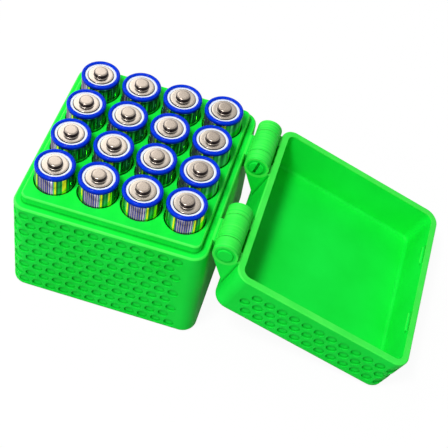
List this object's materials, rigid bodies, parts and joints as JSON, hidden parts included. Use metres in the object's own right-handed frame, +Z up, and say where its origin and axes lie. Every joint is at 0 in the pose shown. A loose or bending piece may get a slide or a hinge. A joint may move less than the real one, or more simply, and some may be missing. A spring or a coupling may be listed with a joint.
{
  "type": "battery storage case",
  "caption": "Printed case that stands round battery cells in a pocketed block, with dimpled outer walls and a hollow lid on two pinned hinges.",
  "frame": {"origin": "middle of the body's flat bottom face, on the surface it stands on", "axes": "+X from the catch side to the hinge side and the opened lid, +Y to the rear, +Z up"},
  "size_m": [0.1492, 0.0762, 0.0577],
  "materials": {
    "case_plastic": "satin, fine layer lines",
    "pin_plastic": "satin",
    "cell_can": "glossy printed wrap"
  },
  "bodies": {
    "case": {"case_body": "case_plastic", "cell_1_1": "cell_can", "cell_1_2": "cell_can", "cell_1_3": "cell_can", "cell_1_4": "cell_can", "cell_2_1": "cell_can", "cell_2_2": "cell_can", "cell_2_3": "cell_can", "cell_2_4": "cell_can", "cell_3_1": "cell_can", "cell_3_2": "cell_can", "cell_3_3": "cell_can", "cell_3_4": "cell_can", "cell_4_1": "cell_can", "cell_4_2": "cell_can", "cell_4_3": "cell_can", "cell_4_4": "cell_can"},
    "lid": {"lid": "case_plastic", "hinge_pin_front": "pin_plastic", "hinge_pin_rear": "pin_plastic"}
  },
  "joints": [
    {"name": "lid_hinge", "type": "hinge", "parent": "case", "child": "lid", "pos_m": [0.04135, 0, 0.0444], "axis": [0, -1, 0], "range_deg": [0, 199.81]}
  ]
}
